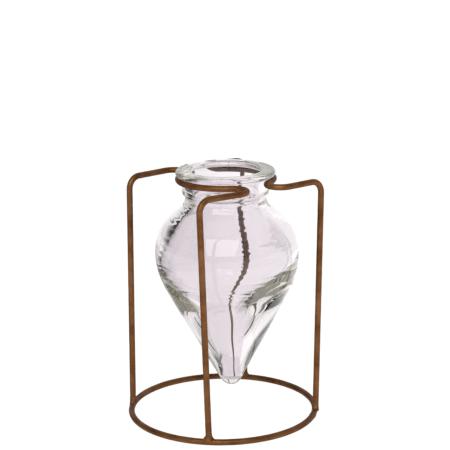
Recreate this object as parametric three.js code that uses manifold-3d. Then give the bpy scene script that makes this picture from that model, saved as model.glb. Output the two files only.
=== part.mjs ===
// Bud vase with metal stand.
// A stemless glass amphora with a thick, pointed end hangs by its rim in a collar of bent wire.
// The stand is two bent wires welded to a ring. Each wire is one length of round rod: up a leg,
// inwards along an arm, back on itself in a tight return, half way round the vase's neck, through
// a second return, out along a second arm and down a second leg. The two half collars never meet.
// Millimetres, +Z up, the table at z = 0. The photograph's camera looks along +Y.

import * as THREE from "three";
import * as BufferGeometryUtils from "three/addons/utils/BufferGeometryUtils.js";
import Module from "manifold-3d";

// The rod that the whole stand is bent from, and how finely its curves are divided.
const wireDiameter = 3.2;
const wireSides = 12;
const chordError = 0.05;

// The base ring, and the feet's places round it, as azimuths from +X.
const ringRadius = 49;
const frontFootAzimuth = -98.8;
const rightFootAzimuth = -7.5;
const backFootAzimuth = 75.5;
const leftFootAzimuth = 173;
const rightFootOverhang = 0.5;

// The shoulders, where legs turn into arms. The hand-bent stand leans by headLean towards +X.
const shoulderRadius = 50;
const shoulderBendRadius = 6.3;
const headLean = 2.2;
const frontShoulderAzimuth = -104.6;
const rightShoulderAzimuth = -6.6;
const backShoulderAzimuth = 76;
const leftShoulderAzimuth = 171.4;

// The collar, from the shoulders' centre, and the returns that join it to the arms.
const collarHeight = 126.8;
const collarShiftX = 0.8;
const collarShiftY = 2;
const returnRadius = 7;
const gapAzimuth = -57;
const gapHalfAngle = 27.3;

// The welds that join the feet to the ring.
const weldHeight = 1.8;
const weldFlare = 1.1;
const weldWrap = 1;
const weldSides = 20;

// Clearances between touching pieces, and between the vase's spigot and the collar.
const seatGap = 0.3;
const spigotClearance = 0.3;

// The vase's outside, measured down from the seat under its rim.
const spigotRadius = 22.9;
const spigotLength = 8.2;
const rimOverhang = 1.2;
const rimThickness = 3.2;
const rimLowerEdge = 0.9;
const rimUpperEdge = 1.7;
const neckRadius = 21.3;
const neckDrop = 11.5;
const neckBlend = 1.9;
const neckHandle = 9.3;
const bellyRadius = 37.6;
const bellyDrop = 41.5;
const shoulderHandle = 21.5;
const bellyRoll = 5.2;
const coneDrop = 61.4;
const vaseLength = 114.4;
const tipRadius = 6;

// The vase's inside: a bowl that draws in to a funnel, and the funnel to a fine bore in the point.
const mouthRadius = 18.3;
const mouthEdge = 1.5;
const throatRadius = 17.2;
const throatDrop = 14.6;
const throatHandle = 6.5;
const bellyWall = 4.3;
const bowlHandle = 14;
const bowlDrop = 43.7;
const coneWall = 6.4;
const funnelLean = 38;
const funnelFootRadius = 1.5;
const boreRadius = 0.7;
const tipWall = 5.4;

// The number of points on each kind of curve in the vase's outline.
const longCurvePoints = 9;
const shortCurvePoints = 4;

const wireRadius = wireDiameter / 2;
const wireFlat = wireRadius * Math.cos(Math.PI / wireSides);
const ringCentre = new THREE.Vector3(-headLean / 2, 0, wireFlat);
const headCentre = new THREE.Vector3(headLean / 2, 0, collarHeight);
const collarCentre = headCentre.clone().add(new THREE.Vector3(collarShiftX, collarShiftY, 0));
const collarRadius = spigotRadius + spigotClearance + wireRadius;
const rimRadius = collarRadius + rimOverhang;
const seatHeight = collarHeight + wireRadius + seatGap;
const footHeight = ringCentre.z + wireRadius + seatGap + weldHeight;
const coneTop = new THREE.Vector2(bellyRadius - bellyRoll, -coneDrop);
const up = new THREE.Vector3(0, 0, 1);
const down = new THREE.Vector3(0, 0, -1);

const radians = THREE.MathUtils.degToRad;
const fullTurn = 2 * Math.PI;

const copperPaint = () => new THREE.MeshStandardMaterial({ color: 0x82502a, metalness: 0.65, roughness: 0.42 });
const weldPaint = () => new THREE.MeshStandardMaterial({ color: 0x6b4226, metalness: 0.6, roughness: 0.55 });
const clearGlass = () => new THREE.MeshStandardMaterial({
  color: 0xe4dde2, metalness: 0, roughness: 0.04, transparent: true, opacity: 0.35,
});

// A point at a radius and an azimuth in degrees from a centre, level with that centre.
function around(centre, radius, azimuth) {
  const angle = radians(azimuth);
  return centre.clone().add(new THREE.Vector3(radius * Math.cos(angle), radius * Math.sin(angle), 0));
}

// How many straight steps keep an arc of this radius and angle within chordError of the curve.
function arcSteps(radius, angle) {
  const step = 2 * Math.acos(1 - chordError / radius);
  return Math.max(2, Math.ceil(angle / step));
}

// A round section with a flat side at the bottom, so that a ring made from it stands on a flat.
function roundSection(radius) {
  const points = [];
  for (let side = 0; side < wireSides; side += 1) {
    const angle = ((side + 0.5) / wireSides) * fullTurn;
    points.push(new THREE.Vector2(radius * Math.cos(angle), radius * Math.sin(angle)));
  }
  return points;
}

// The centreline of a bent wire, known at its own stations: the ends of each straight, and evenly
// along each bend. Extruding along it puts one ring of the section at each station.
class BentWire extends THREE.Curve {
  constructor(stations) {
    super();
    this.stations = stations;
  }

  station(share) {
    return this.stations[Math.round(share * (this.stations.length - 1))];
  }

  getPointAt(share, target = new THREE.Vector3()) {
    return target.copy(this.station(share).point);
  }

  getPoint(share, target) {
    return this.getPointAt(share, target);
  }

  getTangentAt(share, target = new THREE.Vector3()) {
    return target.copy(this.station(share).tangent);
  }
}

// Carries on straight ahead from the last station to a point.
function addStraight(stations, point) {
  stations.push({ point: point.clone(), tangent: stations.at(-1).tangent.clone() });
}

// Bends the wire about an axis from its last station, by an angle in radians at a radius.
function addBend(stations, axis, angle, radius) {
  const start = stations.at(-1);
  const centre = start.point.clone().addScaledVector(axis.clone().cross(start.tangent), radius);
  const steps = arcSteps(radius, angle);
  for (let step = 1; step <= steps; step += 1) {
    const turn = new THREE.Quaternion().setFromAxisAngle(axis, (angle * step) / steps);
    stations.push({
      point: start.point.clone().sub(centre).applyQuaternion(turn).add(centre),
      tangent: start.tangent.clone().applyQuaternion(turn),
    });
  }
}

// The four legs. A leg whose arm turns back to the left has side 1, to the right side -1. Each
// return stands gapHalfAngle away from the gap between the two half collars.
const legs = {
  front: { foot: frontFootAzimuth, shoulder: frontShoulderAzimuth, side: 1, gap: gapAzimuth, overhang: 0 },
  left: { foot: leftFootAzimuth, shoulder: leftShoulderAzimuth, side: -1, gap: gapAzimuth + 180, overhang: 0 },
  back: { foot: backFootAzimuth, shoulder: backShoulderAzimuth, side: 1, gap: gapAzimuth + 180, overhang: 0 },
  right: {
    foot: rightFootAzimuth, shoulder: rightShoulderAzimuth, side: -1, gap: gapAzimuth,
    overhang: rightFootOverhang,
  },
};

// Where a leg's centreline meets the top of the ring.
function footPoint(leg) {
  const point = around(ringCentre, ringRadius + leg.overhang, leg.foot);
  point.z += wireRadius;
  return point;
}

// The azimuth of the end of the half collar that a leg's return joins.
function collarEnd(leg) {
  return leg.gap - leg.side * gapHalfAngle;
}

// The stations from a foot up the leg, along the arm and round the return to the collar.
function legStations(leg) {
  const foot = footPoint(leg);
  const shoulder = around(headCentre, shoulderRadius, leg.shoulder);
  const legAlong = shoulder.clone().sub(foot).normalize();
  const returnCentre = around(collarCentre, collarRadius + returnRadius, collarEnd(leg));

  // The arm is the straight line from the shoulder that touches the return's circle.
  const toReturn = returnCentre.clone().sub(shoulder);
  const swing = -leg.side * Math.asin(returnRadius / toReturn.length());
  const armAlong = toReturn.clone().normalize().applyAxisAngle(up, swing);
  const turnAxis = leg.side > 0 ? up : down;
  const touch = returnCentre.clone().addScaledVector(turnAxis.clone().cross(armAlong), -returnRadius);

  const bendAngle = legAlong.angleTo(armAlong);
  const bendAxis = legAlong.clone().cross(armAlong).normalize();
  const cutBack = shoulderBendRadius * Math.tan(bendAngle / 2);
  const rise = (footHeight - foot.z) / legAlong.z;

  const stations = [{ point: foot.clone().addScaledVector(legAlong, rise), tangent: legAlong }];
  addStraight(stations, shoulder.clone().addScaledVector(legAlong, -cutBack));
  addBend(stations, bendAxis, bendAngle, shoulderBendRadius);
  addStraight(stations, touch);

  const collarAlong = around(new THREE.Vector3(), 1, collarEnd(leg) - leg.side * 90);
  const turned = leg.side * Math.atan2(armAlong.clone().cross(collarAlong).z, armAlong.dot(collarAlong));
  addBend(stations, turnAxis, THREE.MathUtils.euclideanModulo(turned, fullTurn), returnRadius);
  return stations;
}

// One bent wire: up the first leg, clockwise round its half of the collar, down the second leg.
function bentWire(first, second) {
  const stations = legStations(first);
  const sweep = THREE.MathUtils.euclideanModulo(collarEnd(first) - collarEnd(second), 360);
  addBend(stations, down, radians(sweep), collarRadius);
  stations.pop();
  for (const { point, tangent } of legStations(second).reverse()) {
    stations.push({ point, tangent: tangent.clone().negate() });
  }
  return new THREE.ExtrudeGeometry(new THREE.Shape(roundSection(wireRadius)), {
    steps: stations.length - 1,
    bevelEnabled: false,
    extrudePath: new BentWire(stations),
  });
}

// A profile of (radius, height) points turned about the upright axis.
function turned(profile, widest) {
  return new THREE.LatheGeometry(profile, arcSteps(widest, fullTurn)).rotateX(Math.PI / 2);
}

// A ring of round section, grown all round by extra.
function ringOf(extra) {
  const section = roundSection(wireRadius + extra).map((point) => point.setX(point.x + ringRadius));
  return turned([...section, section[0].clone()], ringRadius);
}

function solidOf(wasm, geometry) {
  const bare = geometry.clone();
  bare.deleteAttribute("normal");
  bare.deleteAttribute("uv");
  const merged = BufferGeometryUtils.mergeVertices(bare);
  return new wasm.Manifold(new wasm.Mesh({
    numProp: 3,
    vertProperties: merged.attributes.position.array,
    triVerts: new Uint32Array(merged.index.array),
  }));
}

function geometryOf(solid) {
  const mesh = solid.getMesh();
  const geometry = new THREE.BufferGeometry();
  geometry.setAttribute("position", new THREE.BufferAttribute(mesh.vertProperties, 3));
  geometry.setIndex(new THREE.BufferAttribute(mesh.triVerts, 1));
  geometry.computeVertexNormals();
  return geometry;
}

// A weld under a foot: as wide as the wire where it meets the leg, flared where it has run out
// over the ring, and saddled on to the ring's round top.
function footWeld(wasm, leg) {
  const foot = footPoint(leg);
  const top = footHeight - seatGap;
  const bottom = foot.z - weldWrap;
  const flare = new THREE.QuadraticBezierCurve(
    new THREE.Vector2(wireRadius + weldFlare, bottom),
    new THREE.Vector2(wireRadius, foot.z),
    new THREE.Vector2(wireRadius, top),
  );
  const profile = [
    new THREE.Vector2(0, bottom),
    ...flare.getPoints(shortCurvePoints),
    new THREE.Vector2(0, top),
  ];
  const bead = new THREE.LatheGeometry(profile, weldSides).rotateX(Math.PI / 2);
  bead.translate(foot.x, foot.y, 0);
  const ring = ringOf(seatGap).translate(ringCentre.x, ringCentre.y, ringCentre.z);
  return geometryOf(solidOf(wasm, bead).subtract(solidOf(wasm, ring)));
}

// Joins curves that follow each other into one list of points.
function trace(curves) {
  const points = [curves[0][0].getPoint(0)];
  for (const [curve, divisions] of curves) {
    points.push(...curve.getPoints(divisions).slice(1));
  }
  return points;
}

function at(radius, height) {
  return new THREE.Vector2(radius, height);
}

function line(from, to) {
  return [new THREE.LineCurve(from, to), 1];
}

function arc(centre, radiusX, radiusY, fromDegrees, toDegrees, divisions) {
  const clockwise = toDegrees < fromDegrees;
  const curve = new THREE.EllipseCurve(
    centre.x, centre.y, radiusX, radiusY, radians(fromDegrees), radians(toDegrees), clockwise,
  );
  return [curve, divisions];
}

// The vase's outside from the tip up to the top of the rim: a rounded point, a straight cone that
// rolls over the belly, a shoulder drawn in to the neck, the spigot, and the rim with its edges.
// The cone's line runs from coneTop to touch the tip's circle, which sets its lean from upright.
function vaseOutside() {
  const tipCentre = at(0, tipRadius - vaseLength);
  const toConeTop = coneTop.clone().sub(tipCentre);
  const lean = Math.atan2(toConeTop.x, toConeTop.y) - Math.asin(tipRadius / toConeTop.length());
  const tipEdge = at(tipRadius * Math.cos(lean), tipCentre.y - tipRadius * Math.sin(lean));
  const belly = at(bellyRadius, -bellyDrop);
  const bellyCorner = at(bellyRadius, coneTop.y + bellyRoll / Math.tan(lean));
  const neck = at(neckRadius, -neckDrop);
  const spigotFoot = at(spigotRadius, -spigotLength);
  return [
    arc(tipCentre, tipRadius, tipRadius, -90, -THREE.MathUtils.radToDeg(lean), shortCurvePoints),
    line(tipEdge, coneTop),
    [new THREE.QuadraticBezierCurve(coneTop, bellyCorner, belly), longCurvePoints],
    [new THREE.CubicBezierCurve(
      belly, at(bellyRadius, shoulderHandle - bellyDrop), at(neckRadius, -neckDrop - neckHandle), neck,
    ), longCurvePoints],
    [new THREE.CubicBezierCurve(
      neck, at(neckRadius, neckBlend - neckDrop), at(spigotRadius, -spigotLength - neckBlend), spigotFoot,
    ), shortCurvePoints],
    line(spigotFoot, at(spigotRadius, 0)),
    line(at(spigotRadius, 0), at(rimRadius - rimLowerEdge, 0)),
    arc(at(rimRadius - rimLowerEdge, rimLowerEdge), rimLowerEdge, rimLowerEdge, -90, 0, shortCurvePoints),
    arc(at(rimRadius - rimUpperEdge, rimThickness - rimUpperEdge), rimUpperEdge, rimUpperEdge, 0, 90,
      shortCurvePoints),
  ];
}

// The vase's inside from the top of the rim down: the mouth's rounded edge, the throat, the
// shoulder, the bowl, the funnel and the bore's round end. The bowl passes into the funnel beside
// the top of the cone, where both lean from upright by funnelLean.
function vaseInside() {
  const mouthTop = at(mouthRadius + mouthEdge, rimThickness);
  const mouth = at(mouthRadius, rimThickness - mouthEdge);
  const throat = at(throatRadius, -throatDrop);
  const bowl = at(bellyRadius - bellyWall, -bowlDrop);
  const slope = Math.tan(radians(funnelLean));
  const funnelTop = at(coneTop.x - coneWall, coneTop.y);
  const bowlCorner = at(bowl.x, funnelTop.y + (bowl.x - funnelTop.x) / slope);
  const funnelFoot = at(funnelFootRadius, funnelTop.y - (funnelTop.x - funnelFootRadius) / slope);
  const boreEnd = at(boreRadius, boreRadius + tipWall - vaseLength);
  return [
    line(at(rimRadius - rimUpperEdge, rimThickness), mouthTop),
    arc(at(mouthTop.x, mouth.y), mouthEdge, mouthEdge, 90, 180, shortCurvePoints),
    line(mouth, throat),
    [new THREE.CubicBezierCurve(
      throat, at(throatRadius, -throatDrop - throatHandle), at(bowl.x, bowlHandle - bowlDrop), bowl,
    ), longCurvePoints],
    [new THREE.QuadraticBezierCurve(bowl, bowlCorner, funnelTop), longCurvePoints],
    [new THREE.QuadraticBezierCurve(funnelTop, funnelFoot, boreEnd), longCurvePoints],
    arc(at(0, boreEnd.y), boreRadius, boreRadius, 0, -90, shortCurvePoints),
  ];
}

function glassVase() {
  const profile = trace([...vaseOutside(), ...vaseInside()]);
  profile[0].x = 0;
  profile.at(-1).x = 0;
  return turned(profile, bellyRadius);
}

function named(name, geometry, material) {
  const mesh = new THREE.Mesh(geometry, material);
  mesh.name = name;
  return mesh;
}

const wasm = await Module();
wasm.setup();

const stand = new THREE.Group();
const ring = named("base_ring", ringOf(0), copperPaint());
ring.position.copy(ringCentre);
stand.add(ring);
stand.add(named("left_wire", bentWire(legs.front, legs.left), copperPaint()));
stand.add(named("right_wire", bentWire(legs.back, legs.right), copperPaint()));
for (const [name, leg] of Object.entries(legs)) {
  stand.add(named(`${name}_foot_weld`, footWeld(wasm, leg), weldPaint()));
}

const vase = named("glass_vase", glassVase(), clearGlass());
vase.position.set(collarCentre.x, collarCentre.y, seatHeight);

const assembly = new THREE.Group();
assembly.add(stand, vase);

export default assembly;
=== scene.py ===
# %% [markdown]
# # A glass bud vase hung in a bent-wire stand
#
# The object is a small glass amphora with no foot of its own. Its rim hangs in a collar of
# copper-brown wire, and the wire stands on a ring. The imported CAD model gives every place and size,
# and this lesson makes the surfaces that the eye sees: round rods, weld beads and thick clear glass.
# The frame is loaded first, because each new surface rides on one of its bodies.

import math
from typing import NamedTuple

import bpy
import numpy as np
from mathutils import Matrix, Vector


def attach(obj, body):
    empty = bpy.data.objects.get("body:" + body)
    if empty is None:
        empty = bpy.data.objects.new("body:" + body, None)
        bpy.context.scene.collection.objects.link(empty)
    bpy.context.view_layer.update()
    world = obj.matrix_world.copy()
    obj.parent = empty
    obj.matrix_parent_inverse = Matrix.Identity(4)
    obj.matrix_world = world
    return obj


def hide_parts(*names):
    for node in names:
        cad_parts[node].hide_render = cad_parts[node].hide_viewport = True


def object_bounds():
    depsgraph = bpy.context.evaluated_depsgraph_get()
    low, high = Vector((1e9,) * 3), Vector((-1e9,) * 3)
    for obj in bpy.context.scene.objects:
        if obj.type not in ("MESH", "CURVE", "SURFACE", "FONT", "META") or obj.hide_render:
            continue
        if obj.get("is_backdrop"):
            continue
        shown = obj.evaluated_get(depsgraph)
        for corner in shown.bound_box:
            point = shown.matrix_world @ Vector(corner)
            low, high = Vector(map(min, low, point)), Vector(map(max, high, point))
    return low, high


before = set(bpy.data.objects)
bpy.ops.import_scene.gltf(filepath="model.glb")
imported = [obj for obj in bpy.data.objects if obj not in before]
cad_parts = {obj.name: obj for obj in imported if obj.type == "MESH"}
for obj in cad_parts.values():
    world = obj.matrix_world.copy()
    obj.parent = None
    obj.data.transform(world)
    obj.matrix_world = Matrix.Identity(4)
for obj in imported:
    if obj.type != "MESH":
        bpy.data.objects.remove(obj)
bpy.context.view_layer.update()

# %% [markdown]
# ## The camera
#
# The photograph was taken from a little above the rim with a long lens, so the ring shows as a
# flat ellipse and the upright legs stay almost parallel. A tilt alone can't give the picture's slight
# lean, so a small roll about the lens axis comes first and the tilt after it. Working with one matrix
# keeps that order plain, where three Euler angles would hide it.

# %% Camera
camera_place = (-0.0011, -0.7648, 0.2959)
camera_tilt = math.radians(75.784)
camera_roll = math.radians(-0.789)

camera_data = bpy.data.cameras.new("photo_camera")
camera_data.lens = 121.34
camera_data.sensor_width = 36
camera_data.shift_x = 0.0094
camera_data.shift_y = 0.0012
camera_data.clip_start = 0.01
camera = bpy.data.objects.new("photo_camera", camera_data)
camera.matrix_world = (
    Matrix.Translation(camera_place)
    @ Matrix.Rotation(camera_tilt, 4, "X")
    @ Matrix.Rotation(camera_roll, 4, "Z")
)
bpy.context.scene.collection.objects.link(camera)
bpy.context.scene.camera = camera
print("camera lens", camera_data.lens, "mm, tilt", round(math.degrees(camera_tilt), 2), "degrees")

# %% [markdown]
# ## One way to make every surface
#
# A rod, a bead and a vase are all a row of closed rings. Each is worked out as one array of points
# with a row for each ring and a column for each step round it. Neighbouring points make four-sided
# faces. The two ends are joined to each other, as on a hoop, or each is closed with one point in the
# middle. Blender's own primitives could be bent to shape, but an array keeps the formula in view.

# %% Surface helpers
MM = 0.001


def add_piece(name, points, faces, material, body, node):
    """Puts the points and faces into a smooth mesh that stands for a CAD node and rides on its body."""
    mesh = bpy.data.meshes.new(name)
    mesh.from_pydata(points.tolist(), [], faces)
    mesh.materials.append(material)
    mesh.shade_smooth()
    piece = bpy.data.objects.new(name, mesh)
    bpy.context.scene.collection.objects.link(piece)
    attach(piece, body)
    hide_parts(node)
    print(f"{name}: {len(points)} points, {len(faces)} faces, rides on {body}")
    return piece


def ring_faces(rows, columns):
    """Faces between each ring and the next: point (i, j) joins (i, j+1), (i+1, j+1) and (i+1, j)."""
    row, column = np.meshgrid(np.arange(rows - 1), np.arange(columns), indexing="ij")
    ahead = (column + 1) % columns
    corners = [
        row * columns + column,
        row * columns + ahead,
        (row + 1) * columns + ahead,
        (row + 1) * columns + column,
    ]
    return np.stack(corners, axis=-1).reshape(-1, 4).tolist()


def closed_surface(grid, first, last):
    """The grid's rings with a fan of triangles from the point FIRST and another from the point LAST."""
    rows, columns, _ = grid.shape
    points = np.vstack([grid.reshape(-1, 3), first, last])
    step = np.arange(columns)
    ahead = (step + 1) % columns
    start = rows * columns
    end = start + 1
    top = (rows - 1) * columns
    first_fan = np.stack([np.full(columns, start), ahead, step], axis=1).tolist()
    last_fan = np.stack([top + step, top + ahead, np.full(columns, end)], axis=1).tolist()
    return points, ring_faces(rows, columns) + first_fan + last_fan


def hoop_surface(grid):
    """The grid's rings with the last ring joined to the first."""
    rows, columns, _ = grid.shape
    joined = np.array(ring_faces(rows + 1, columns)) % (rows * columns)
    return grid.reshape(-1, 3), joined.tolist()


print("two rings of three points make", len(ring_faces(2, 3)), "faces")

# %% [markdown]
# Nothing bent or blown by hand is quite even. A few sine waves with whole numbers of turns round the
# piece close on themselves without a seam, and a seeded generator draws the same ones on every run.

# %% Unevenness


def waves(turn, height, count, most_turns, shortest, longest, seed):
    """Unevenness from hand work: the sum of COUNT products of two sines, times two over the root of
    COUNT. One sine runs a whole number of times round, up to MOST_TURNS. The other runs along the
    piece with a length between SHORTEST and LONGEST."""
    chance = np.random.default_rng(seed)
    total = np.zeros(np.broadcast(turn, height).shape)
    for _ in range(count):
        times = chance.integers(0, most_turns + 1)
        length = chance.uniform(shortest, longest)
        lead, start = chance.uniform(0, 2 * np.pi, 2)
        total += np.sin(times * turn + lead) * np.sin(2 * np.pi * height / length + start)
    return total * 2 / math.sqrt(count)


def fade(distance, reach):
    """Zero up to distance 0, one past the reach, and even between."""
    return np.clip(distance / reach, 0, 1)


print("a fade at half its reach:", fade(0.5, 1))

# %% [markdown]
# ## Copper-brown paint
#
# The stand is steel rod under a thin metallic paint in an old-copper brown. Seen close, it isn't one
# colour: it goes from a redder copper to an olive brown along the rod, it is darker where it pooled,
# and it has a fine orange-peel grain. Two noises of different size mix three browns, and the smaller
# one also moves the roughness and the bump, so that the highlights break up as they do on the rod.

# %% Paint materials
brown_steps = (0.34, 0.5, 0.68)
gloss_spread = 0.1


def add_node(tree, kind, **values):
    """A node of that kind with the given inputs set by name."""
    node = tree.nodes.new(kind)
    for socket, value in values.items():
        node.inputs[socket.replace("_", " ")].default_value = value
    return node


def brown_patches(tree, place, browns, scale):
    """Large noise that picks a colour between three browns, at the values of brown_steps."""
    patches = add_node(tree, "ShaderNodeTexNoise", Scale=scale, Detail=4.0, Roughness=0.6)
    tree.links.new(place, patches.inputs["Vector"])
    colours = tree.nodes.new("ShaderNodeValToRGB")
    colours.color_ramp.elements[0].position = brown_steps[0]
    colours.color_ramp.elements[1].position = brown_steps[2]
    colours.color_ramp.elements.new(brown_steps[1])
    for element, brown in zip(colours.color_ramp.elements, browns):
        element.color = (*brown, 1.0)
    tree.links.new(patches.outputs["Fac"], colours.inputs["Fac"])
    return colours.outputs["Color"]


def brown_paint(name, browns, patch_scale, grain_scale, grain_depth, metal, roughness):
    """Metallic paint: large noise picks between three browns, small noise grains the gloss and bump."""
    material = bpy.data.materials.new(name)
    material.use_nodes = True
    tree = material.node_tree
    shader = tree.nodes["Principled BSDF"]
    place = tree.nodes.new("ShaderNodeTexCoord").outputs["Object"]
    tree.links.new(brown_patches(tree, place, browns, patch_scale), shader.inputs["Base Color"])

    grain = add_node(tree, "ShaderNodeTexNoise", Scale=grain_scale, Detail=3.0, Roughness=0.7)
    tree.links.new(place, grain.inputs["Vector"])
    gloss = add_node(tree, "ShaderNodeMapRange",
                     To_Min=roughness - gloss_spread, To_Max=roughness + gloss_spread)
    tree.links.new(grain.outputs["Fac"], gloss.inputs["Value"])
    tree.links.new(gloss.outputs["Result"], shader.inputs["Roughness"])
    bump = add_node(tree, "ShaderNodeBump", Strength=0.6, Distance=grain_depth)
    tree.links.new(grain.outputs["Fac"], bump.inputs["Height"])
    tree.links.new(bump.outputs["Normal"], shader.inputs["Normal"])

    shader.inputs["Metallic"].default_value = metal
    shader.inputs["Specular IOR Level"].default_value = 0.3
    shader.inputs["Specular Tint"].default_value = (*browns[1], 1.0)
    return material


copper_paint = brown_paint(
    "copper_paint",
    browns=[(0.112, 0.043, 0.016), (0.172, 0.072, 0.026), (0.225, 0.104, 0.044)],
    patch_scale=95,
    grain_scale=2600,
    grain_depth=0.06 * MM,
    metal=0.5,
    roughness=0.33,
)
weld_paint = brown_paint(
    "weld_paint",
    browns=[(0.105, 0.042, 0.015), (0.185, 0.078, 0.028), (0.270, 0.125, 0.052)],
    patch_scale=420,
    grain_scale=1800,
    grain_depth=0.18 * MM,
    metal=0.5,
    roughness=0.48,
)
print("paints:", copper_paint.name, weld_paint.name)

# %% [markdown]
# ## The base ring
#
# The ring is a length of the same rod rolled into a hoop, with its ends butted and ground beside the
# right leg. A torus primitive would give the hoop but not the small swelling at the joint, so each
# section is placed on the circle by formula and its radius is a function of the azimuth.

# %% Base ring
wire_radius = 1.6 * MM
paint_unevenness = 0.012 * MM
ring_radius = 49 * MM
ring_centre = np.array([-1.1 * MM, 0.0, wire_radius])
ring_stations = 480
ring_sides = 28
joint_azimuth = math.radians(-16)
joint_width = math.radians(1.6)
joint_swelling = 0.16 * MM


def hoop_grid(turn, section):
    """A torus: each section circle lies on the big circle at its azimuth. The rod swells by a bell
    curve at the joint and varies slightly elsewhere."""
    from_joint = (turn - joint_azimuth + np.pi) % (2 * np.pi) - np.pi
    bell = np.exp(-(from_joint / joint_width) ** 2)
    uneven = waves(turn, section, count=12, most_turns=40, shortest=2, longest=6, seed=3)
    rod = wire_radius + joint_swelling * bell + paint_unevenness * uneven
    across = ring_radius + rod * np.cos(section)
    x = across * np.cos(turn)
    y = across * np.sin(turn)
    return ring_centre + np.stack([x, y, rod * np.sin(section)], axis=-1)


ring_turn = np.linspace(0, 2 * np.pi, ring_stations, endpoint=False)[:, None]
ring_section = np.linspace(0, 2 * np.pi, ring_sides, endpoint=False)[None, :]
# A section that turns from outwards to upwards faces out when the rows run clockwise.
ring_points, ring_polygons = hoop_surface(hoop_grid(ring_turn, ring_section)[::-1])
ring_rod = add_piece("ring_rod", ring_points, ring_polygons, copper_paint, "stand", "base_ring")

# %% [markdown]
# ## The two bent wires
#
# Each wire is one rod: up a leg, in along an arm, back through a tight return, half way round the
# vase's neck and out again the same way. The stand was bent by hand, so each foot and shoulder has its
# own azimuth, and the collar sits a little off the middle. The returns of the two wires lie side by
# side at two gaps, one at the front right and one at the back left.

# %% Sizes of the bent wires
head_centre = np.array([1.1, 0.0, 126.8]) * MM
collar_shift = np.array([0.8, 2.0, 0.0]) * MM
collar_centre = head_centre + collar_shift
collar_radius = 24.8 * MM
shoulder_radius = 50 * MM
shoulder_bend = 6.3 * MM
return_bend = 7 * MM
front_gap = -57
back_gap = front_gap + 180
gap_half_angle = 27.3


class Leg(NamedTuple):
    """Where a leg stands and how its arm turns back. Azimuths are in degrees."""

    foot_azimuth: float
    shoulder_azimuth: float
    # 1 where the return turns anticlockwise seen from above, and -1 where it turns clockwise
    side: int
    # azimuth of the gap between the half collars at which the return stands
    gap: float
    # how far the foot stands outside the ring's centreline
    overhang: float
    # height of the rod's lower end
    rod_end: float


legs = {
    "front": Leg(-98.8, -104.6, 1, front_gap, 0.0, 2.6 * MM),
    "left": Leg(173, 171.4, -1, back_gap, 0.0, 2.6 * MM),
    "back": Leg(75.5, 76, 1, back_gap, 0.0, 2.6 * MM),
    "right": Leg(-7.5, -6.6, -1, front_gap, 0.5 * MM, 2.5 * MM),
}
print("legs:", ", ".join(f"{name} at {leg.foot_azimuth}" for name, leg in legs.items()))

# %% [markdown]
# Straights and circular bends are all that a bending jig makes, so the centreline is built from those
# two. A curve object with a bevel could follow it too, but here each station also carries its sideways
# direction, which keeps the section from twisting.

# %% Straights and bends
up = np.array([0.0, 0.0, 1.0])
station_gap = 0.8 * MM


def around(centre, radius, azimuth):
    """The point at a radius and an azimuth in degrees (from +X towards +Y) from the centre, level
    with it."""
    angle = math.radians(azimuth)
    return centre + radius * np.array([math.cos(angle), math.sin(angle), 0.0])


def unit(vector):
    """A vector divided by its own length."""
    return vector / np.linalg.norm(vector)


def turned_about(vector, axis, angles):
    """Rodrigues' formula: v cos a + (axis x v) sin a + axis (axis . v) (1 - cos a)."""
    angles = np.asarray(angles)[:, None]
    return (vector * np.cos(angles) + np.cross(axis, vector) * np.sin(angles)
            + axis * np.dot(axis, vector) * (1 - np.cos(angles)))


def straight(start, end):
    """Even stations from one point to just short of the other."""
    count = max(2, int(np.linalg.norm(end - start) / station_gap))
    return start + np.linspace(0, 1, count, endpoint=False)[:, None] * (end - start)


def bend(start, along, axis, angle, radius):
    """Even stations on a circular bend from a point: the bend's centre is at axis x along from it.
    Gives the points and the directions, end included."""
    count = max(3, int(radius * angle / station_gap) + 1)
    angles = np.linspace(0, angle, count)
    centre = start + radius * np.cross(axis, along)
    return centre + turned_about(start - centre, axis, angles), turned_about(along, axis, angles)


print("stations every", station_gap / MM, "mm")

# %% [markdown]
# A leg leans from its foot to its shoulder. Its arm is the tangent from the shoulder to the return's
# circle, and the return ends where the rod runs along the collar's circle. So all the joints between
# straights and bends are smooth, whatever the sizes are.

# %% One leg


def collar_end(leg):
    """Azimuth at which the leg's return passes into the collar."""
    return leg.gap - leg.side * gap_half_angle


def arm_line(leg, shoulder):
    """The arm's direction, and the point where it meets its return. The arm swings off the line to
    the return's centre by the angle whose sine is the bend's radius over the distance."""
    return_centre = around(collar_centre, collar_radius + return_bend, collar_end(leg))
    to_return = return_centre - shoulder
    swing = -leg.side * math.asin(return_bend / np.linalg.norm(to_return))
    along = turned_about(unit(to_return), up, [swing])[0]
    touch = return_centre - return_bend * np.cross(leg.side * up, along)
    return along, touch


def return_stations(leg, touch, arm_along):
    """From the arm's end round to the collar. The bend's angle is the one from the arm's direction
    to the collar's, measured the way the return turns."""
    collar_along = around(np.zeros(3), 1, collar_end(leg) - leg.side * 90)
    angle = math.atan2(np.cross(arm_along, collar_along)[2], np.dot(arm_along, collar_along))
    return bend(touch, arm_along, leg.side * up, leg.side * angle % (2 * math.pi), return_bend)


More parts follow.
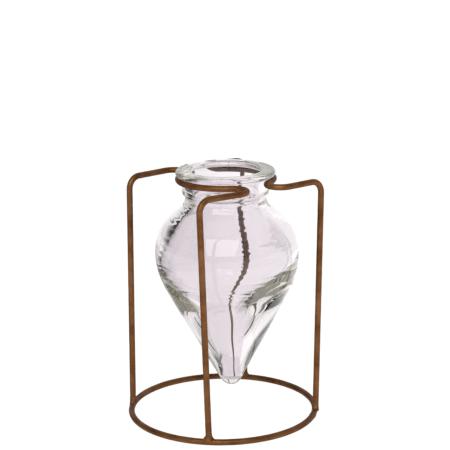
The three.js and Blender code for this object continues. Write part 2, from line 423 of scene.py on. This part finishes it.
def leg_stations(leg):
    """Stations from a foot up the leg, round the shoulder, along the arm and round the return.
    Gives points, directions and sideways directions, one row for each station."""
    foot = around(ring_centre, ring_radius + leg.overhang, leg.foot_azimuth) + wire_radius * up
    shoulder = around(head_centre, shoulder_radius, leg.shoulder_azimuth)
    leg_along = unit(shoulder - foot)
    rod_foot = foot + leg_along * (leg.rod_end - foot[2]) / leg_along[2]
    arm_along, touch = arm_line(leg, shoulder)

    angle = math.acos(np.dot(leg_along, arm_along))
    axis = unit(np.cross(leg_along, arm_along))
    bend_start = shoulder - shoulder_bend * math.tan(angle / 2) * leg_along
    upright = straight(rod_foot, bend_start)
    bend_points, bend_along = bend(bend_start, leg_along, axis, angle, shoulder_bend)
    arm = straight(bend_points[-1], touch)[1:]
    return_points, return_along = return_stations(leg, touch, arm_along)

    points = np.vstack([upright, bend_points, arm, return_points])
    along = np.vstack([
        np.tile(leg_along, (len(upright), 1)),
        bend_along,
        np.tile(arm_along, (len(arm), 1)),
        return_along,
    ])
    level = np.cross(up, return_along)
    sideways = np.vstack([np.tile(axis, (len(points) - len(level), 1)), level])
    return points, along, sideways


for name, leg in legs.items():
    stations = len(leg_stations(leg)[0])
    print(f"{name} leg: {stations} stations from foot to collar")

# %% [markdown]
# A wire is its first leg, half of the collar, and its second leg walked backwards. The rod is then a
# circle of the wire's radius at each station, square to the direction in which the wire runs.

# %% The two wires
rod_sides = 24


def wire_stations(first, second):
    """Up the first leg, clockwise round half of the collar, and down the second leg."""
    points, along, sideways = leg_stations(first)
    back_points, back_along, back_sideways = leg_stations(second)
    sweep = math.radians((collar_end(first) - collar_end(second)) % 360)
    half_points, half_along = bend(points[-1], along[-1], -up, sweep, collar_radius)
    half_points = half_points[1:-1]
    half_along = half_along[1:-1]
    return (np.vstack([points, half_points, back_points[::-1]]),
            np.vstack([along, half_along, -back_along[::-1]]),
            np.vstack([sideways, np.cross(up, half_along), -back_sideways[::-1]]))


def rod_grid(points, along, sideways, seed):
    """A round rod: centre + radius (sideways cos a + (along x sideways) sin a) at each station. The
    paint makes the radius vary by about a hundredth of a millimetre."""
    angle = np.linspace(0, 2 * np.pi, rod_sides, endpoint=False)[None, :]
    travelled = np.r_[0, np.cumsum(np.linalg.norm(np.diff(points, axis=0), axis=1))][:, None]
    uneven = waves(angle, travelled, count=14, most_turns=3, shortest=3 * MM, longest=18 * MM, seed=seed)
    radius = (wire_radius + paint_unevenness * uneven)[..., None]
    other = np.cross(along, sideways)[:, None]
    spoke = sideways[:, None] * np.cos(angle)[..., None] + other * np.sin(angle)[..., None]
    return points[:, None] + radius * spoke


def add_wire(name, first, second, node, seed):
    """A rod from one leg's foot to another's, with its two ends closed at the centreline."""
    points, along, sideways = wire_stations(legs[first], legs[second])
    grid = rod_grid(points, along, sideways, seed)
    skin, faces = closed_surface(grid, points[0], points[-1])
    wire = add_piece(name, skin, faces, copper_paint, "stand", node)
    length = np.linalg.norm(np.diff(points, axis=0), axis=1).sum()
    print(f"{name}: {length / MM:.0f} mm of rod from the {first} foot to the {second} foot")


add_wire("left_rod", "front", "left", "left_wire", 11)
add_wire("right_rod", "back", "right", "right_wire", 12)

# %% [markdown]
# ## The welds at the feet
#
# Each leg is stuck to the ring with a small bead that has run out along the ring and drawn up the leg
# in a hollow curve. A bead is a sleeve round the leg: at its top it is as wide as the rod, lower down
# it flares, and its foot follows the round top of the ring. It flares along the ring but hardly
# across it, because there is no metal there to carry it.

# %% Weld beads
bead_height = 2.9 * MM
bead_flare = {"front": 1.5 * MM, "left": 1.0 * MM, "back": 1.1 * MM, "right": 0.7 * MM}
bead_across = 0.25 * MM
bead_skin = 0.03 * MM
bead_sink = 0.1 * MM
bead_lumps = 0.35
bead_hollow = 2.4
bead_rows = 16
bead_columns = 40
# The bead's foot comes no lower on the ring's side than this height above its centreline.
lowest_seat = 0.25 * wire_radius


def bead_grid(leg, flare, seed):
    """Rings round the leg: radius = rod + flare (1 - t)^bead_hollow, height from the ring's surface to
    the bead's top by t. The flare is widest along the ring, and lumps vary it round the leg."""
    foot = around(ring_centre, ring_radius + leg.overhang, leg.foot_azimuth)
    angle = np.linspace(0, 2 * np.pi, bead_columns, endpoint=False)[None, :]
    share = np.linspace(0, 1, bead_rows)[:, None]
    tangent = math.radians(leg.foot_azimuth + 90)
    along = np.cos(angle - tangent) ** 2
    lump = 1 + bead_lumps * waves(angle, share, count=10, most_turns=5, shortest=1, longest=3, seed=seed)
    spread = (flare * along * lump + bead_across) * (1 - share) ** bead_hollow
    radius = wire_radius + bead_skin + spread

    x = foot[0] + radius * np.cos(angle)
    y = foot[1] + radius * np.sin(angle)
    off = np.hypot(x[0] - ring_centre[0], y[0] - ring_centre[1]) - ring_radius
    seat = ring_centre[2] + np.sqrt(np.maximum(wire_radius**2 - off**2, lowest_seat**2)) - bead_sink
    top = ring_centre[2] + wire_radius + bead_height
    z = seat + (top - seat) * share
    return np.stack([x, y, z], axis=-1), foot


for seed, (name, leg) in enumerate(legs.items(), start=21):
    grid, foot = bead_grid(leg, bead_flare[name], seed)
    low = np.array([foot[0], foot[1], grid[0, :, 2].min()])
    high = np.array([foot[0], foot[1], grid[-1, 0, 2]])
    points, faces = closed_surface(grid, low, high)
    bead = add_piece(f"{name}_weld_bead", points, faces, weld_paint, "stand", f"{name}_foot_weld")

# %% [markdown]
# ## Thick clear glass
#
# The glass is clear with a faint lilac cast, and polished by the flame. Light bends where it enters
# and leaves, so the picture in it comes from the shape and the index of refraction, not from paint.
# The lilac is set at the surface. Absorption inside leans to olive and is weak, so it only tells where
# light runs a long way along the wall: at the edges and in the dark patches low on the sides. A slight
# ripple of the surface comes from a noise.

# %% Glass material


def thick_glass(name, surface_tint, inside_tint, density):
    """Glass with an index of 1.5, a tint at the surface, another that grows with the way that light
    runs inside, and a faint ripple."""
    material = bpy.data.materials.new(name)
    material.use_nodes = True
    tree = material.node_tree
    shader = tree.nodes["Principled BSDF"]
    shader.inputs["Base Color"].default_value = (*surface_tint, 1.0)
    shader.inputs["Transmission Weight"].default_value = 1.0
    shader.inputs["Roughness"].default_value = 0.0
    shader.inputs["IOR"].default_value = 1.5

    place = tree.nodes.new("ShaderNodeTexCoord").outputs["Object"]
    ripple = add_node(tree, "ShaderNodeTexNoise", Scale=140.0, Detail=2.0, Roughness=0.5)
    tree.links.new(place, ripple.inputs["Vector"])
    bump = add_node(tree, "ShaderNodeBump", Strength=0.1, Distance=0.1 * MM)
    tree.links.new(ripple.outputs["Fac"], bump.inputs["Height"])
    tree.links.new(bump.outputs["Normal"], shader.inputs["Normal"])

    inside = add_node(tree, "ShaderNodeVolumeAbsorption", Density=density)
    inside.inputs["Color"].default_value = (*inside_tint, 1.0)
    tree.links.new(inside.outputs["Volume"], tree.nodes["Material Output"].inputs["Volume"])
    return material


clear_glass = thick_glass(
    "clear_glass",
    surface_tint=(0.875, 0.834, 0.869),
    inside_tint=(0.80, 0.80, 0.60),
    density=4.0,
)
print("glass index", clear_glass.node_tree.nodes["Principled BSDF"].inputs["IOR"].default_value)

# %% [markdown]
# ## The vase
#
# The vase is a turned form with a thick wall. Its outside runs from the rounded point up a straight
# cone, over the belly, in to the neck, up the spigot that passes the collar and out to the rim. Its
# inside goes down again through the throat and a wide bowl, and draws in to a funnel whose narrow foot
# reaches into the point. The outline is traced from arcs and Bezier curves in millimetres, with its
# zero at the seat under the rim, where the collar carries the vase.

# %% Arcs and Bezier curves
vase_axis = np.array([1.7, 2.0])
seat_height = 128.7


def bezier(*handles, count=60):
    """A Bezier curve: the mean of its handles with weights (n choose k) t^k (1 - t)^(n - k)."""
    t = np.linspace(0, 1, count)[:, None]
    degree = len(handles) - 1
    return sum(math.comb(degree, k) * t**k * (1 - t) ** (degree - k) * np.array(handle, float)
               for k, handle in enumerate(handles))


def arc(centre, radius, start, end, count=40):
    """An arc of a circle between two angles in degrees."""
    angle = np.radians(np.linspace(start, end, count))
    return np.stack([centre[0] + radius * np.cos(angle), centre[1] + radius * np.sin(angle)], axis=1)


print("the seat is", seat_height, "mm above the table")

# %% [markdown]
# Each curved stretch is a Bezier curve whose handles lie on the tangents at its two ends. A name that
# ends in "drop" is a level below the seat, and one that ends in "pull" is how far a handle stands from
# the end of its curve. Such handles are easy to fit to a measured edge, and neighbouring stretches
# pass into each other without a kink.

# %% Outside of the vase
vase_length = 114.4
tip_radius = 6.0
cone_half_angle = 28.8
cone_drop = 61.4
belly_radius = 37.6
belly_drop = 41.5
belly_roll = 5.2
shoulder_pull = 21.5
neck_radius = 21.3
neck_drop = 11.5
neck_pull = 9.3
spigot_radius = 22.9
spigot_length = 8.2
spigot_pull = 1.9


def outside_outline():
    """From the tip up the cone, the belly, the neck and the spigot to the seat under the rim."""
    slope = math.tan(math.radians(cone_half_angle))
    tip = arc((0, tip_radius - vase_length), tip_radius, -90, -cone_half_angle)
    cone_top = (belly_radius - belly_roll, -cone_drop)
    corner = (belly_radius, cone_top[1] + belly_roll / slope)
    belly = (belly_radius, -belly_drop)
    above_belly = (belly_radius, shoulder_pull - belly_drop)
    below_neck = (neck_radius, -neck_drop - neck_pull)
    neck = (neck_radius, -neck_drop)
    above_neck = (neck_radius, spigot_pull - neck_drop)
    below_spigot = (spigot_radius, -spigot_length - spigot_pull)
    spigot = (spigot_radius, -spigot_length)
    return np.vstack([
        tip,
        bezier(tip[-1], cone_top),
        bezier(cone_top, corner, belly),
        bezier(belly, above_belly, below_neck, neck),
        bezier(neck, above_neck, below_spigot, spigot),
        bezier(spigot, (spigot_radius, 0)),
    ])


print("widest outside radius:", round(outside_outline()[:, 0].max(), 1), "mm")

# %% Rim of the vase
rim_radius = 26.0
rim_thickness = 3.2
rim_lower_round = 0.9
rim_upper_round = 1.7
mouth_round = 1.5
mouth_radius = 18.3


def rim_outline():
    """From the seat out to the rim's edge, over its top and into the mouth."""
    lower = (rim_radius - rim_lower_round, rim_lower_round)
    upper = (rim_radius - rim_upper_round, rim_thickness - rim_upper_round)
    mouth = (mouth_radius + mouth_round, rim_thickness - mouth_round)
    return np.vstack([
        bezier((spigot_radius, 0), (lower[0], 0)),
        arc(lower, rim_lower_round, -90, 0),
        arc(upper, rim_upper_round, 0, 90),
        bezier((upper[0], rim_thickness), (mouth[0], rim_thickness)),
        arc(mouth, mouth_round, 90, 180),
    ])


print("rim width:", round(rim_radius - mouth_radius, 1), "mm")

# %% [markdown]
# The inside was blown and never touched by a tool. Its form was worked out from the photograph by
# following rays of light through the walls, until the edges of the clear bowl and the bent image of
# the back leg fell where they do in the picture. The hollow stays several millimetres wide right down
# into the point, and ends in a rounded floor.

# %% Inside of the vase
throat_radius = 17.2
throat_drop = 14.6
throat_pull = 6.5
bowl_radius = 33.7
bowl_drop = 44.0
bowl_pull = 14
funnel_radius = 25.0
funnel_lean = 39.4
funnel_foot_radius = 3.8
foot_radius = 4.5
foot_drop = 107.4
floor_radius = 0.9 * foot_radius
cavity_depth = 110.4


def inside_outline():
    """From the mouth down the throat, out to the bowl, in along the funnel and down to its foot.
    The funnel leans by funnel_lean where the bowl passes into it, and draws in to a narrow tube."""
    lean = math.tan(math.radians(funnel_lean))
    throat = (throat_radius, -throat_drop)
    below_throat = (throat_radius, -throat_drop - throat_pull)
    above_bowl = (bowl_radius, bowl_pull - bowl_drop)
    bowl = (bowl_radius, -bowl_drop)
    funnel = (funnel_radius, -cone_drop)
    corner = (bowl_radius, funnel[1] + (bowl_radius - funnel_radius) / lean)
    funnel_foot = (funnel_foot_radius, funnel[1] - (funnel_radius - funnel_foot_radius) / lean)
    foot = (foot_radius, -foot_drop)
    return np.vstack([
        bezier((mouth_radius, rim_thickness - mouth_round), throat),
        bezier(throat, below_throat, above_bowl, bowl),
        bezier(bowl, corner, funnel, count=120),
        bezier(funnel, funnel_foot, foot, count=200),
        bezier(foot, (floor_radius, -cavity_depth), (0, -cavity_depth)),
    ])


print("glass below the hollow:", round(vase_length - cavity_depth, 1), "mm")

# %% [markdown]
# The flame softens every corner, so each point of the outline becomes the mean of its neighbours.
# Rings are then picked closer together where the form turns tightly, at the rim, and in the hollow,
# whose ripples are fine.

# %% Soften the outline
fine_step = 0.1
softness = 0.45
outside_spacing = 0.75
rim_spacing = 0.3
inside_spacing = 0.45
outline_parts = [
    (outside_outline(), outside_spacing),
    (rim_outline(), rim_spacing),
    (inside_outline(), inside_spacing),
]


def blurred(line):
    """Each point is the mean of its neighbours under a bell curve as wide as the softness. Past each
    end the line is mirrored in the axis."""
    reach = int(3 * softness / fine_step)
    mirror = np.array([-1, 1])
    padded = np.vstack([line[reach:0:-1] * mirror, line, line[-2:-reach - 2:-1] * mirror])
    bell = np.exp(-((np.arange(-reach, reach + 1) * fine_step / softness) ** 2) / 2)
    bell /= bell.sum()
    return np.stack([np.convolve(padded[:, axis], bell, "valid") for axis in (0, 1)], axis=1)


def soft_outline(parts):
    """The parts as one line of even steps, blurred, and then picked at each part's own spacing. Gives
    the profile, which of it is inside, and the levels of its two ends on the axis."""
    line = np.vstack([part for part, _ in parts])
    travelled = np.r_[0, np.cumsum(np.linalg.norm(np.diff(line, axis=0), axis=1))]
    even = np.arange(0, travelled[-1], fine_step)
    fine = np.stack([np.interp(even, travelled, line[:, axis]) for axis in (0, 1)], axis=1)
    soft = blurred(fine)

    ends = np.cumsum([len(part) for part, _ in parts]) - 1
    stops = np.r_[0, travelled[ends]]
    picks = [np.arange(start, stop, step) for start, stop, (_, step) in zip(stops, stops[1:], parts)]
    picked = np.concatenate(picks)[1:]
    inner = picked >= stops[-2]
    profile = np.stack([np.interp(picked, even, soft[:, axis]) for axis in (0, 1)], axis=1)
    return profile, inner, soft[0, 1], soft[-1, 1]


profile, is_inside, tip_level, floor_level = soft_outline(outline_parts)
print(f"outline: {len(profile)} rings, {is_inside.sum()} of them inside the bowl")

# %% [markdown]
# Blown glass is never quite round. The outside wanders by a tenth of a millimetre over a few
# centimetres. The inside has fine ripples, the wall is thicker on one side than on the other, and a
# low rough seam runs down the back. The seam widens and breaks up the view of the back leg. A bump in
# the material would break it up too, but only geometry also shows in the exported mesh, so the columns
# of the grid are crowded together at the back to carry the seam.

# %% Uneven glass
vase_columns = 192
back_crowding = 0.6
tip_lean = 1.65
lean_start = -25
wander_depth = 0.08
wander_fade = 15
ripple_depth = 0.02
ripple_start_fade = 4
ripple_end = -62
ripple_end_fade = 8
seam_turn = math.radians(74)
seam_reach = math.radians(7)
seam_height = 0.25
seam_ripple = 0.07
# Nearer to the axis than this radius the unevenness shrinks to nothing.
calm_radius = 12
# level, reach up and down, and sideways size of each place where the hollow is off the axis
bowl_drift = [(-33, 9, 0.8), (-60, 13, -1.7), (-82, 11, -1.1)]


def inner_ripple(turn, level):
    """Fine waves all round, plus rough waves less a ridge along the seam, under a bell curve of the
    azimuth. They fade in under the throat and out where the funnel begins."""
    fine = waves(turn, level, count=60, most_turns=14, shortest=1.6, longest=4.5, seed=33)
    rough = waves(turn, level, count=60, most_turns=45, shortest=1.8, longest=5.0, seed=34)
    seam = np.exp(-(((turn - seam_turn) / seam_reach) ** 2))
    ripple = ripple_depth * fine + seam * (seam_ripple * rough - seam_height)
    ripple *= fade(-throat_drop - level, ripple_start_fade)
    ripple *= fade(level - ripple_end, ripple_end_fade)
    return ripple


def outer_wander(turn, level):
    """Long waves that fade in below the seat."""
    long_waves = waves(turn, level, count=10, most_turns=3, shortest=25, longest=60, seed=31)
    return wander_depth * long_waves * fade(-level, wander_fade)


def vase_grid(profile, is_inside):
    """The outline turned about the axis, with its radius moved by the unevenness. Below lean_start the
    whole form leans evenly to +X, and the hollow drifts sideways by a bell curve at each level of
    bowl_drift."""
    even = np.linspace(0, 2 * np.pi, vase_columns, endpoint=False)[None, :]
    turn = even + back_crowding * np.cos(even)
    radius = profile[:, :1]
    level = profile[:, 1:]
    inside = is_inside[:, None]
    uneven = np.where(inside, inner_ripple(turn, level), outer_wander(turn, level))
    moved = radius + fade(radius, calm_radius) * uneven
    lean = tip_lean * fade(lean_start - level, vase_length + lean_start)
    drift = sum(size * np.exp(-(((level - middle) / width) ** 2)) for middle, width, size in bowl_drift)
    x = vase_axis[0] + moved * np.cos(turn) + lean + np.where(inside, drift, 0)
    y = vase_axis[1] + moved * np.sin(turn)
    z = np.broadcast_to(seat_height + level, x.shape)
    return np.stack([x, y, z], axis=-1) * MM


vase_rings = vase_grid(profile, is_inside)
vase_tip = np.array([vase_axis[0] + tip_lean, vase_axis[1], seat_height + tip_level]) * MM
bowl_floor = np.append(vase_rings[-1].mean(axis=0)[:2], (seat_height + floor_level) * MM)
vase_points, vase_faces = closed_surface(vase_rings, vase_tip, bowl_floor)
glass_vessel = add_piece("glass_vessel", vase_points, vase_faces, clear_glass, "vase", "glass_vase")

# %% [markdown]
# ## The studio
#
# The photograph shows the object on plain white with hardly any shadow, as on a lit white table. Glass
# shows its form only where it bends in something darker, so what stands round it matters as much as
# its shape. Floor and room are therefore colours that are mixed by place and by direction. One trick
# is used for both: the camera sees plain white wherever it looks past the object.

# %% Mixing helpers
white = (1.0, 1.0, 1.0)


def mixed(tree, share, first, second):
    """A colour between two by a share: each end is a plain colour or another node's output."""
    mix = tree.nodes.new("ShaderNodeMix")
    mix.data_type = "RGBA"
    tree.links.new(share, mix.inputs["Factor"])
    for socket, end in (("A", first), ("B", second)):
        if isinstance(end, tuple):
            mix.inputs[socket].default_value = (*end, 1.0)
        else:
            tree.links.new(end, mix.inputs[socket])
    return mix.outputs["Result"]


def white_to_camera(tree, colour):
    """The colour for the light that reaches the object, and white for the camera's own rays."""
    seen = tree.nodes.new("ShaderNodeLightPath").outputs["Is Camera Ray"]
    return mixed(tree, seen, colour, white)


print("mixing helpers ready")

# %% [markdown]
# The floor is a wide white sheet that glows by itself, a little more on the right than on the left. It
# glows less right under the object, which keeps light from it, and much less in two round places at
# the left and behind on the left. The glass turns the light from there into its dark patches.

# %% Floor
floor_half_width = 4.0
floor_slope_reach = 0.07
floor_left = (0.94, 0.94, 0.94)
floor_right = (1.14, 1.14, 1.14)
# centre, radii between which the shade ends, and glow inside: under the object, at the left, and
# behind on the left
floor_shades = [
    ((0.0, 0.0, 0.0), 0.035, 0.07, (0.60, 0.60, 0.60)),
    ((-0.13, 0.05, 0.0), 0.045, 0.10, (0.15, 0.15, 0.12)),
    ((-0.33, 0.24, 0.0), 0.22, 0.285, (0.04, 0.04, 0.035)),
]


def floor_glow(tree):
    """From floor_left to floor_right across the middle, and towards each shade's colour inside it, by
    the distance from its centre."""
    place = tree.nodes.new("ShaderNodeTexCoord").outputs["Object"]
    across = tree.nodes.new("ShaderNodeSeparateXYZ")
    tree.links.new(place, across.inputs["Vector"])
    rightward = add_node(tree, "ShaderNodeMapRange",
                         From_Min=-floor_slope_reach, From_Max=floor_slope_reach)
    tree.links.new(across.outputs["X"], rightward.inputs["Value"])
    glow = mixed(tree, rightward.outputs["Result"], floor_left, floor_right)
    for centre, near, far, shade in floor_shades:
        away = tree.nodes.new("ShaderNodeVectorMath")
        away.operation = "DISTANCE"
        away.inputs[1].default_value = centre
        tree.links.new(place, away.inputs[0])
        outside = add_node(tree, "ShaderNodeMapRange", From_Min=near, From_Max=far)
        tree.links.new(away.outputs["Value"], outside.inputs["Value"])
        glow = mixed(tree, outside.outputs["Result"], shade, glow)
    return glow


def white_floor():
    """A wide flat sheet that mostly glows and partly reflects the lamp."""
    half = floor_half_width
    mesh = bpy.data.meshes.new("white_floor")
    mesh.from_pydata([(-half, -half, 0), (half, -half, 0), (half, half, 0), (-half, half, 0)], [],
                     [(0, 1, 2, 3)])
    material = bpy.data.materials.new("white_sheet")
    material.use_nodes = True
    tree = material.node_tree
    shader = tree.nodes["Principled BSDF"]
    shader.inputs["Base Color"].default_value = (0.10, 0.10, 0.10, 1.0)
    shader.inputs["Roughness"].default_value = 1.0
    shader.inputs["Specular IOR Level"].default_value = 0.0
    shader.inputs["Emission Strength"].default_value = 1.0
    tree.links.new(white_to_camera(tree, floor_glow(tree)), shader.inputs["Emission Color"])
    mesh.materials.append(material)
    floor = bpy.data.objects.new("white_floor", mesh)
    bpy.context.scene.collection.objects.link(floor)
    floor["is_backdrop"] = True


white_floor()
print("floor with", len(floor_shades), "shaded places")

# %% [markdown]
# The room is white low behind the object, grey above it and on the camera's side, and dark round one
# low direction behind on the left. The dark side shows again, turned round, low on the right of the
# glass and in thin streaks along its neck and its left edge.

# %% Room
room_back = (1.0, 1.0, 1.0)
room_front = (0.30, 0.295, 0.26)
room_dark = (0.012, 0.011, 0.008)
bright_towards = (0, -30)
bright_edge = 0.4
dark_towards = (-60, 6)
dark_reach = (16, 40)


def towards(tree, direction, aim):
    """The cosine of the angle between a direction and an aim, given as azimuth from +Y to +X and
    elevation in degrees."""
    azimuth, elevation = (math.radians(angle) for angle in aim)
    level = math.cos(elevation)
    dot = tree.nodes.new("ShaderNodeVectorMath")
    dot.operation = "DOT_PRODUCT"
    dot.inputs[1].default_value = (
        math.sin(azimuth) * level,
        math.cos(azimuth) * level,
        math.sin(elevation),
    )
    tree.links.new(direction, dot.inputs[0])
    return dot.outputs["Value"]


def dim_room():
    """World light by direction: from room_back to room_front across the plane square to
    bright_towards, and room_dark within dark_reach degrees of dark_towards."""
    world = bpy.data.worlds.new("studio")
    bpy.context.scene.world = world
    world.use_nodes = True
    tree = world.node_tree
    direction = tree.nodes.new("ShaderNodeTexCoord").outputs["Generated"]
    behind = add_node(tree, "ShaderNodeMapRange", From_Min=-bright_edge, From_Max=bright_edge)
    tree.links.new(towards(tree, direction, bright_towards), behind.inputs["Value"])
    room = mixed(tree, behind.outputs["Result"], room_front, room_back)

    within, beyond = (math.cos(math.radians(angle)) for angle in dark_reach)
    near = add_node(tree, "ShaderNodeMapRange", From_Min=beyond, From_Max=within)
    near.interpolation_type = "SMOOTHSTEP"
    tree.links.new(towards(tree, direction, dark_towards), near.inputs["Value"])
    room = mixed(tree, near.outputs["Result"], room, room_dark)
    tree.links.new(white_to_camera(tree, room), tree.nodes["Background"].inputs["Color"])


dim_room()
print("room dark towards azimuth", dark_towards[0], "and elevation", dark_towards[1])

# %% [markdown]
# One large soft box in front, above the camera, draws the highlights along the rods. It isn't seen
# through the glass, where its square face would show in the bowl.
#
# Light that is caught in a thick wall is turned back many times before it finds its way out. With few
# turns allowed it would be lost, and the wall would show black triangles that no real glass has.

# %% Soft box and light turns
middle = Vector((0.0, 0.0, 0.07))
light_turns = 40


def soft_lamp(name, place, target, size, power):
    """A square soft box at a place, turned so that its face looks at the target."""
    lamp = bpy.data.lights.new(name, "AREA")
    lamp.size = size
    lamp.energy = power
    holder = bpy.data.objects.new(name, lamp)
    holder.location = place
    holder.rotation_euler = (target - Vector(place)).to_track_quat("-Z", "Y").to_euler()
    holder.visible_transmission = False
    bpy.context.scene.collection.objects.link(holder)


soft_lamp("front_box", (-0.2, -1.2, 0.95), middle, size=1.3, power=16)
bpy.context.scene.view_settings.view_transform = "Standard"
light_paths = bpy.context.scene.cycles
light_paths.max_bounces = light_turns
light_paths.transmission_bounces = light_turns
light_paths.glossy_bounces = light_turns
print("soft box ready, light turns:", light_turns)

# %% Measure and finish
low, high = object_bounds()
print("visual box, mm:", [round(value / MM, 1) for value in (*low, *high)])
